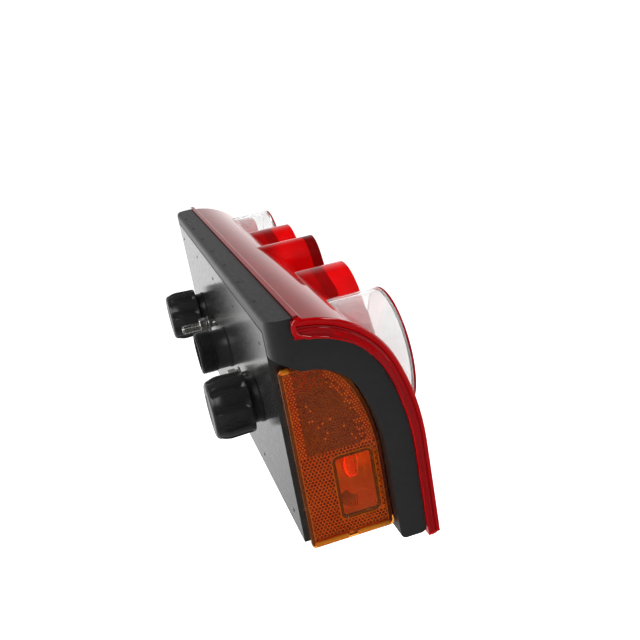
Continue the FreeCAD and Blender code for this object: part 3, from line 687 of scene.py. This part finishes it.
def marker_outline(margin, corner=2.5):
    """The marker's outline as (y, z) points, with its other three corners rounded."""
    foot, rear = span("side_marker_lens", 2)[0] + margin, span("side_marker_lens", 1)[1] - margin
    path = profile_path(MARKER_INSET + margin, MARKER_DROP, foot + corner)
    front, top = path[-1][0], path[0][1]
    turns = [math.radians(d) for d in (0, 22, 45, 68, 90)]
    low = [(front + corner - corner * math.cos(a), foot + corner - corner * math.sin(a)) for a in turns[1:]]
    back = [(rear - corner + corner * math.sin(a), foot + corner - corner * math.cos(a)) for a in turns]
    high = [(rear - corner + corner * math.cos(a), top - corner + corner * math.sin(a)) for a in turns]
    return path + low + back + high


def window_outline(margin, corner=3.0, steps=6):
    """The window's outline, grown by a margin, with round corners."""
    radius = corner + margin
    points = []
    for quarter, (high_y, high_z) in enumerate(((1, 1), (0, 1), (0, 0), (1, 0))):
        y = WINDOW_Y[high_y] + corner * (-1 if high_y else 1)
        z = WINDOW_Z[high_z] + corner * (-1 if high_z else 1)
        for angle in spread(90 * quarter, 90 * quarter + 90, steps):
            a = math.radians(angle)
            points.append((y + radius * math.cos(a), z + radius * math.sin(a)))
    return points


def ring(mesh, x, outline):
    """Vertices along an outline of (y, z) points across X."""
    return [mesh.verts.new(Vector((x, y, z)) * MM) for y, z in outline]


def bridge(mesh, first, second):
    """Faces between two rings with the same number of vertices."""
    count = len(first)
    for i in range(count):
        j = (i + 1) % count
        mesh.faces.new((first[i], first[j], second[j], second[i]))


def fill_between(mesh, *rings):
    """A flat face bounded by one ring, with the other rings as holes."""
    edges = []
    for loop in rings:
        for i, vertex in enumerate(loop):
            pair = vertex, loop[(i + 1) % len(loop)]
            edges.append(mesh.edges.get(pair) or mesh.edges.new(pair))
    bmesh.ops.triangle_fill(mesh, edges=edges, use_beauty=True)


def make_marker_lens():
    """The amber skin: a smooth face with a rounded rim, and a sunk window with eased sides."""
    node = "side_marker_lens"
    face, seat = span(node, 0)
    mesh = bmesh.new()
    steps = ((seat, 0.0), (face + 1.2, 0.0), (face + 0.2, 0.2), (face - 0.4, 0.6), (face - 0.6, 1.2),
             (face - 0.4, 1.8), (face + 0.1, 2.3), (face + 0.3, 2.8), (face + 0.3, 3.4))
    rings = [ring(mesh, x, marker_outline(margin)) for x, margin in steps]
    for outer, inner in zip(rings, rings[1:]):
        bridge(mesh, outer, inner)
    sunk = [ring(mesh, face + depth, window_outline(margin)) for depth, margin in
            ((0.3, 1.7), (0.1, 1.4), (0.1, 1.0), (0.35, 0.5), (1.2, 0.1), (1.4, -0.4))]
    for outer, inner in zip(sunk, sunk[1:]):
        bridge(mesh, outer, inner)
    fill_between(mesh, rings[-1], sunk[0])
    mesh.faces.new(sunk[-1])
    back = ring(mesh, face + 2.0, marker_outline(2.0))
    bridge(mesh, back, rings[0])
    mesh.faces.new(back)
    data = bpy.data.meshes.new(node + "_skin")
    mesh.to_mesh(data)
    mesh.free()
    finish_piece(node + "_skin", data, "amber_lens_plastic", "root", (node,), 40)


REAR_EDGE, REAR_RIM, FRONT_EDGE, FRONT_RIM = -12.5, -10.5, 12.0, 8.0
RED_LIT_ABOVE = 30
# each kind is a lit or shaded copy of the same amber prism: painted highlight, painted shade or painted red
# light
PRISM_SHARES = {"bright": 0.6, "pit": 0.74, "dull": 0.74, "ruby": 0.74}


def prism_kind(y, z, chance):
    """Painted light and shade on the prisms: dark deep-shaded ones low down, bright highlit dots along both
    edges, a dull shaded middle and a ruby top of painted red light.
    """
    if z < FINE_PRISMS_ABOVE:
        return "pit"
    front_edge = y < -32 and not inside_marker(y, z, FRONT_EDGE)
    if y > REAR_EDGE or front_edge:
        rim = y > REAR_RIM or not inside_marker(y, z, FRONT_RIM)
        return "bright" if rim or chance < 0.45 else "dull"
    if z > RED_LIT_ABOVE:
        return "ruby" if chance < 0.6 else "dull"
    return "bright" if chance < 0.03 else "dull"


def prism(base, y, z, half, lean, share):
    """A six-sided pyramid with a stepped point, on the plane x = base and pointing to -X."""
    vertices = []
    for depth, part, drift in ((0.0, 1.0, 0.0), (0.55, 0.62, 1.0)):
        for corner in range(6):
            turn = math.radians(60 * corner + 30)
            reach = half / math.cos(math.radians(30)) * share * part
            vertices.append((base - depth * half, y + reach * math.cos(turn) + lean[0] * drift,
                             z + reach * math.sin(turn) + lean[1] * drift))
    vertices.append((base - 0.68 * half, y + 1.5 * lean[0], z + 1.5 * lean[1]))
    faces = [(k, (k + 1) % 6, 6 + (k + 1) % 6, 6 + k) for k in range(6)]
    faces += [(6 + k, 6 + (k + 1) % 6, 12) for k in range(6)]
    return vertices, faces + [(5, 4, 3, 2, 1, 0)]


def prism_plane():
    """Where the prisms' flat web stands, a little way behind the skin's face."""
    return span("side_marker_lens", 0)[0] + 2.9


def make_marker_prisms():
    """The reflecting prisms behind the skin: coarse ones low down and fine ones above."""
    rng = random.Random(11)
    foot, top = span("side_marker_lens", 2)
    base = prism_plane()
    kinds = {kind: [] for kind in PRISM_SHARES}
    coarse, fine, tilt = 2.5, 2.1, 0.04
    for pitch, low, high in ((coarse, foot + 4.5, FINE_PRISMS_ABOVE), (fine, FINE_PRISMS_ABOVE, top)):
        step = pitch * math.sqrt(3) / 2
        for row in range(int((high - low) / step) + 1):
            z = low + (row + 0.4) * step
            for column in range(int(60 / pitch)):
                y = -6.2 - (column + 0.5 * (row % 2)) * pitch
                if not inside_marker(y, z, 3.2) or near_window(y, z, 2.2) or z > high:
                    continue
                half = pitch / 2
                lean = rng.uniform(-tilt, tilt) * half, rng.uniform(-tilt, tilt) * half
                # the kind is the painted light or shade this prism gets
                kind = prism_kind(y, z, rng.random())
                kinds[kind].append(prism(base, y, z, half, lean, PRISM_SHARES[kind]))
    for kind, parts in kinds.items():
        piece("side_marker_prisms_" + kind, *joined(*parts), "prism_" + kind, sharp=20,
              slot_name="amber_lens_plastic")


def flat_frame(name, near, far, outer, hole, material):
    """A flat plate across X with one hole."""
    mesh = bmesh.new()
    rings = []
    for x in (near, far):
        pair = ring(mesh, x, outer), ring(mesh, x, hole)
        fill_between(mesh, *pair)
        rings.append(pair)
    for first, second in zip(*rings):
        bridge(mesh, first, second)
    data = bpy.data.meshes.new(name)
    mesh.to_mesh(data)
    mesh.free()
    finish_piece(name, data, material, "root", (), 30)


def make_marker_backing():
    """The dull web behind the prisms, open at the window, and the plain border round them."""
    base = prism_plane()
    flat_frame("side_marker_web", base, base + 0.7, marker_outline(3.4), window_outline(1.8), "amber_web")
    flat_frame("side_marker_border", base - 1.0, base + 0.9, marker_outline(0.5), marker_outline(3.3),
               "amber_border")
    flat_frame("side_marker_window_frame", base - 1.0, base + 0.9, window_outline(1.7), window_outline(-0.6),
               "amber_border")
    mouth = span("side_marker_reflector", 0)[0]
    flat_frame("side_marker_window_sleeve", base + 0.9, mouth + 0.3, window_outline(0.4),
               window_outline(-0.6), "amber_dish")
    # painted highlights: thin bright amber beads along the outline and round the window stand in for
    # highlight lines
    lines = [piping(base - 1.0, marker_outline(3.0), 0.4), piping(base - 1.0, window_outline(1.9), 0.45)]
    piece("side_marker_highlight_lines", *joined(*lines), "amber_line", slot_name="amber_lens_plastic", sharp=60)


def piping(x, path, radius, around=8, closed=True):
    """A round bead that follows a path of (y, z) points; its radius is one number or one for each point."""
    count = len(path)
    radii = radius if isinstance(radius, list) else [radius] * count
    vertices = []
    for i, (y, z) in enumerate(path):
        before = path[i - 1] if closed or i else path[0]
        after = path[(i + 1) % count] if closed or i < count - 1 else path[i]
        along = Vector((after[0] - before[0], after[1] - before[1])).normalized()
        for step in range(around):
            turn = math.tau * step / around
            side, rise = radii[i] * math.cos(turn), radii[i] * math.sin(turn)
            vertices.append((x - rise, y + along[1] * side, z - along[0] * side))
    return vertices, grid_faces(count, around) if closed else swept_faces(count, around)


def rounded_bar(x, low, high, z, radius, around=14, caps=5):
    """A bar along Y with domed ends."""
    vertices = []
    quarter, tip = math.pi / 2, 0.05
    stations = [(low + radius - radius * math.cos(a), math.sin(a)) for a in spread(tip, quarter, caps)]
    stations += [(high - radius + radius * math.sin(a), math.cos(a)) for a in spread(0, quarter - tip, caps)]
    for y, share in stations:
        for step in range(around):
            turn = math.tau * step / around
            vertices.append((x + radius * share * math.cos(turn), y, z + radius * share * math.sin(turn)))
    return vertices, swept_faces(len(stations), around)


def make_marker_bead():
    """The round bead along the marker's foot, broken by a notch, and the lug at its upper rear."""
    face = span("side_marker_lens", 0)[0]
    foot = span("side_marker_lens", 2)[0]
    halves = (-60.0, -35.6), (-30.0, -5.5)
    parts = [rounded_bar(face + 1.4, low, high, foot + 2.1, 2.0) for low, high in halves]
    parts.append(rounded_bar(face + 1.8, -33.6, -29.6, foot + 3.6, 1.5))
    parts.append(rounded_bar(face + 1.2, -11.4, -4.4, 48.2, 1.9))
    piece("side_marker_bead", *joined(*parts), "amber_bead", slot_name="amber_lens_plastic", sharp=60)


def make_marker_bulb_glints():
    """Curved streaks of light down both sides of the small bulb's glass."""
    front = span("side_marker_bulb", 0)[0]
    top, centre_y = span("side_marker_bulb", 2)[1], middle_y("side_marker_bulb")
    parts, count = [], 18
    # each streak: how far its centre lies forward and down, its half width and height, its turns, its girth
    for ahead, down, half, rise, first, last, girth in (
        (0.8, 10.5, 4.3, 9.6, 62, -78, 0.8),
        (1.8, 13.5, 3.2, 5.6, 215, 318, 0.35),
        (1.8, 13.5, 3.4, 5.6, 150, 205, 0.3),
        (1.2, 9.5, 4.9, 12.0, 140, 196, 0.3),
    ):
        path = [(centre_y - ahead + half * math.cos(a), top - down + rise * math.sin(a)) for a in
                spread(math.radians(first), math.radians(last), count)]
        radii = [girth * (0.15 + 0.85 * math.sin(math.pi * i / (count - 1))) for i in range(count)]
        parts.append(piping(front - 0.3, path, radii, 8, False))
    piece("side_marker_bulb_glints", *joined(*parts), "ruby_glint", slot_name="bulb_glass", sharp=60)


def make_window_fan():
    """Ribs that fan out below the bulb, behind the window's rear half."""
    back, hub_y, hub_z, ribs = -201.0, -43.0, -47.0, 12
    parts = []
    for number in range(ribs):
        turn = math.radians(276 + 62 * number / (ribs - 1))
        along = math.cos(turn), math.sin(turn)
        side = -along[1], along[0]
        vertices = []
        for reach, half in ((8.0, 0.12), (17.0, 0.36)):
            y, z = hub_y + along[0] * reach, hub_z + along[1] * reach
            y, z = min(y, WINDOW_Y[1] + 0.2), max(z, WINDOW_Z[0] + 0.5)
            vertices += [(back, y + side[0] * half, z + side[1] * half),
                         (back, y - side[0] * half, z - side[1] * half), (back - 1.3, y, z)]
        parts.append((vertices, [(0, 1, 4, 3), (1, 2, 5, 4), (2, 0, 3, 5), (0, 2, 1), (3, 4, 5)]))
    piece("side_marker_fan", *joined(*parts), "amber_line", slot_name="amber_lens_plastic", sharp=10)


# --- details of the red lens -------------------------------------------------------------


def skin_depth(z):
    """How far forward (in -Y) the red lens's skin lies at a height above its corner's centre."""
    rise = min(z - ARC_HEIGHT, ARC_RADIUS)
    return -ARC_DEPTH - math.sqrt(ARC_RADIUS ** 2 - rise ** 2)


def make_collar(name, across, slot, wave):
    """The inner wall of a round chamber where it stands out of the skin; its edge may be wavy."""
    upward, radius, wall, end, steps = 31.6, 39.0, 1.0, -72.5, 49
    reach = math.acos((ARC_HEIGHT + 34.5 - upward) / radius)
    vertices = []
    for turn in spread(-reach, reach, steps):
        x, z = math.sin(turn), math.cos(turn)
        edge = end + wave * math.sin(5 * turn)
        root = max(edge, min(skin_depth(upward + radius * z) + 1.2, -40))
        for y, r in ((root, radius - wall), (root, radius), (edge + 1.0, radius), (edge + 0.2, radius - 0.2),
                     (edge, radius - 0.5), (edge + 0.2, radius - wall)):
            vertices.append((across + r * x, y, upward + r * z))
    piece("chamber_collar_" + name, vertices, swept_faces(steps, 6), slot, slot_name="red_lens_plastic",
          sharp=40)


OUTER_RIDGE = ((0.01, 0.0), (0.04, 0.7), (0.10, 1.15), (0.20, 1.25), (0.28, 1.0), (0.33, 0.45), (0.36, 0.0))
INNER_RIDGES = (
    (0.36, 0.0), (0.38, 0.35), (0.46, 0.35), (0.49, 0.85), (0.55, 1.0), (0.60, 0.7), (0.63, 0.3),
    (0.80, 0.25), (0.83, 0.55), (0.90, 0.55), (0.95, 0.0),
)


def make_rim(name, side, section, slot):
    """Ridges round the lens's end wall: each is (share of the way in, height proud of the wall)."""
    wall = span("red_lens", 0)[0 if side < 0 else 1]
    rim_inset, rim_drop, foot = 8.4, 4.5, -86.5
    paths = []
    for share, _ in section:
        path = profile_path(rim_inset * share, rim_drop * share, foot, 70, 24)
        paths.append([(-15.2 - 0.6 * share, path[0][1]), (-15.9, path[0][1])] + path)
    stations = len(paths[0])
    vertices = []
    for i in range(stations):
        ease = (0.3, 0.85)[i] if i < 2 else 1.0
        for path, (_, bump) in zip(paths, section):
            vertices.append((wall + side * (bump * ease + 0.04), *path[i]))
        for path in (paths[-1], paths[0]):
            vertices.append((wall + side * 0.02, *path[i]))
    faces = swept_faces(stations, len(section) + 2)
    piece(name, vertices, faces, slot, slot_name="red_lens_plastic", sharp=50)


BEAD_SECTION = (
    (-19.2, -0.3), (-19.3, 0.4), (-19.9, 0.95), (-20.8, 1.15), (-21.7, 0.95), (-22.3, 0.4), (-22.4, -0.3),
)
BEAD_ENDS = ((0.4, 0.35), (1.0, 0.75), (2.0, 0.95))


def make_top_bead():
    """A rounded bead along the lens's rear edge, its height easing in at both ends."""
    low, high = span("red_lens", 0)
    top = ARC_HEIGHT + ARC_RADIUS - 0.12
    stations = [(low + inset, ease) for inset, ease in BEAD_ENDS]
    stations += [(x, 1.0) for x in spread(low + 4, high - 4, 24)]
    stations += [(high - inset, ease) for inset, ease in reversed(BEAD_ENDS)]
    vertices = [(x, y, top + rise * ease) for x, ease in stations for y, rise in BEAD_SECTION]
    faces = swept_faces(len(stations), len(BEAD_SECTION))
    piece("lens_rear_bead", vertices, faces, "red_rim", slot_name="red_lens_plastic", sharp=60)


def make_corner_curl(name, side):
    """The lens's rear corner: its bead curls down the end wall and runs on inside the ridges."""
    wall = span("red_lens", 0)[0 if side < 0 else 1]
    centre_y, centre_z, reach_y, reach_z = -21.5, 78.6, 5.3, 6.0
    path = [(centre_y + reach_y * math.cos(a), centre_z + reach_z * math.sin(a)) for a in
            spread(math.radians(82), math.radians(-90), 18)]
    path += [profile_point(turn, 8.0, 4.4) for turn in spread(0.13, 0.62, 14)]
    radii = [1.2 + 0.5 * math.sin(math.pi * i / 18) for i in range(18)] + spread(1.15, 0.5, 14)
    piece(name, *piping(wall + side * 0.5, path, radii, 12, False), "red_ridge",
          slot_name="red_lens_plastic", sharp=60)


def make_corner_prisms(name, side):
    """Short prism ribs under the lens's end, round its upper front corner, painted bright as a lit copy of
    the red.
    """
    wall = span("red_lens", 0)[0 if side < 0 else 1]
    ribs, first, pitch, half = 26, 24, 1.15, math.radians(0.4)
    ends = [(inset, 4.5 * inset / 8) for inset in (6.9, 4.9)]
    parts = []
    for number in range(ribs):
        turn = math.radians(first + pitch * number)
        corners = [profile_point(turn + way * half, *end) for end in ends for way in (-1, 1)]
        vertices = [(wall + side * 0.05, y, z) for y, z in corners]
        vertices += [(wall + side * 1.0, *profile_point(turn, *end)) for end in ends]
        parts.append((vertices, [(0, 1, 3, 2), (0, 2, 5, 4), (1, 4, 5, 3), (0, 4, 1), (2, 3, 5)]))
    piece(name, *joined(*parts), "red_bright", slot_name="red_lens_plastic", sharp=10)


def make_drum_rims():
    """A thin red bead round the front edge of each clear drum."""
    front = span("red_lens", 1)[0]
    for name in ("indicator", "reversing"):
        across, upward = middle("clear_lens_" + name)
        outline = [(front + 0.75 + 0.8 * math.cos(a), 41.95 + 0.35 * math.sin(a)) for a in
                   (math.tau * step / 12 for step in range(12))]
        piece("drum_rim_" + name, *turned(outline, across, upward, 120), "red_rim",
              slot_name="red_lens_plastic", sharp=60)


def make_fresnel_rings():
    """Concentric ridges on the faces of the two round red chambers, in a painted lit copy of the red."""
    front = span("red_lens", 1)[0]
    upward = middle("clear_lens_indicator")[1]
    for name in ("stop_near", "stop_far"):
        across = middle("bulb_glass_" + name)[0]
        parts = []
        for number in range(11):
            inner = 4.0 + 3.3 * number
            outline = [(front + 0.02, inner), (front - 0.22, inner + 0.5), (front - 0.26, inner + 1.0),
                       (front - 0.02, inner + 2.9), (front + 0.02, inner + 2.9)]
            parts.append(turned(outline, across, upward, 96))
        piece("fresnel_rings_" + name, *joined(*parts), "red_bright", slot_name="red_lens_plastic", sharp=25)


def low_button(x, y, z, radius, height, upward, around=18):
    """A shallow domed mark standing on a face that looks to +Z, or to +Y."""
    profile = (1.0, 0.0), (0.92, 1.0), (0.72, 1.0), (0.6, 0.25), (0.05, 0.25)
    vertices = []
    for share, rise in profile:
        for step in range(around):
            turn = math.tau * step / around
            a, b = radius * share * math.cos(turn), radius * share * math.sin(turn)
            offset = (a, b, height * rise) if upward else (a, height * rise, b)
            vertices.append((x + offset[0], y + offset[1], z + offset[2]))
    return vertices, swept_faces(len(profile), around)


def make_mould_marks():
    """Round ejector marks and a fine parting line on the frame's top, and marks on the back plate."""
    top = span("frame_surround", 2)[1]
    low, high = span("frame_surround", 0)
    marks = [low_button(x, -4.8, top, 1.7, 0.22, True) for x in spread(low + 52, high - 52, 7)]
    half_line, line_y, line_height = 0.12, -8.2, 0.16
    section = ((line_y - half_line, top), (line_y, top + line_height), (line_y + half_line, top))
    line = [(x, y, z) for x in (low + 12, high - 12) for y, z in section]
    marks.append((line, [(0, 1, 4, 3), (1, 2, 5, 4), (2, 0, 3, 5), (0, 2, 1), (3, 4, 5)]))
    piece("frame_mould_marks", *joined(*marks), "black_matt_plastic", sharp=50)
    rear = span("housing_shell", 1)[1]
    dots = [low_button(x, rear, z, 1.3, 0.25, False) for x in spread(-186, 186, 5) for z in (-62, 62)]
    piece("plate_mould_marks", *joined(*dots), "black_gloss_plastic", sharp=50)


MATERIALS = make_materials()
SLOTS = {part["node"]: part["material_slot"] for part in frame["record"]["subparts"]}

make_camera()
make_world()
softbox("overhead", (-0.15, -0.35, 1.2), (0, 0, 0), (1.1, 1.1), 16, mirrored=False)
softbox("rear_side", (-0.1, 1.3, 0.7), (0, 0, 0), (0.9, 0.9), 9)
softbox("front_side", (-0.3, -1.4, 0.4), (0, 0, 0), (0.9, 0.9), 5)
softbox("rear_top", (-0.65, 0.75, 0.85), (0, 0.02, 0), (0.5, 0.5), 3)
softbox("strip", (-0.30, -0.75, 0.95), (-0.1, 0, 0), (0.9, 0.1), 2.5)
make_floor()
for name, node in frame["nodes"].items():
    dress(node, MATERIALS[SLOTS[name]])
# painted light: the reflector box gets a faint amber glow and the bulb a glowing red
dress(frame["nodes"]["side_marker_reflector"], MATERIALS["amber_dish"])
dress(frame["nodes"]["side_marker_bulb"], MATERIALS["painted_red_bulb"])

make_studs()
for side in ("near", "far"):
    make_nut(side)
    make_washers(side)
    make_cap(side)
for side in ("near", "centre", "far"):
    make_connector_body(side)

make_marker_lens()
make_marker_prisms()
make_marker_backing()
make_marker_bead()
make_marker_bulb_glints()
make_window_fan()
make_drum_rims()
make_mould_marks()
for name in ("indicator", "reversing"):
    make_collar(name, middle("clear_lens_" + name)[0], "red_collar", wave=0.8)
for name in ("stop_near", "stop_far"):
    make_collar(name, middle("bulb_glass_" + name)[0], "red_rim", wave=0)
for name, side in (("near", -1), ("far", 1)):
    # the outer ridge gets a lighter red than the inner ones: painted light where the lens's edge lets light
    # through
    make_rim("lens_outer_ridge_" + name, side, OUTER_RIDGE, "red_ridge")
    make_rim("lens_inner_ridges_" + name, side, INNER_RIDGES, "red_rim")
make_top_bead()
make_fresnel_rings()
make_corner_curl("lens_corner_curl_near", -1)
make_corner_curl("lens_corner_curl_far", 1)
make_corner_prisms("corner_prisms_near", -1)
make_corner_prisms("corner_prisms_far", 1)

scene.view_settings.view_transform = "Standard"
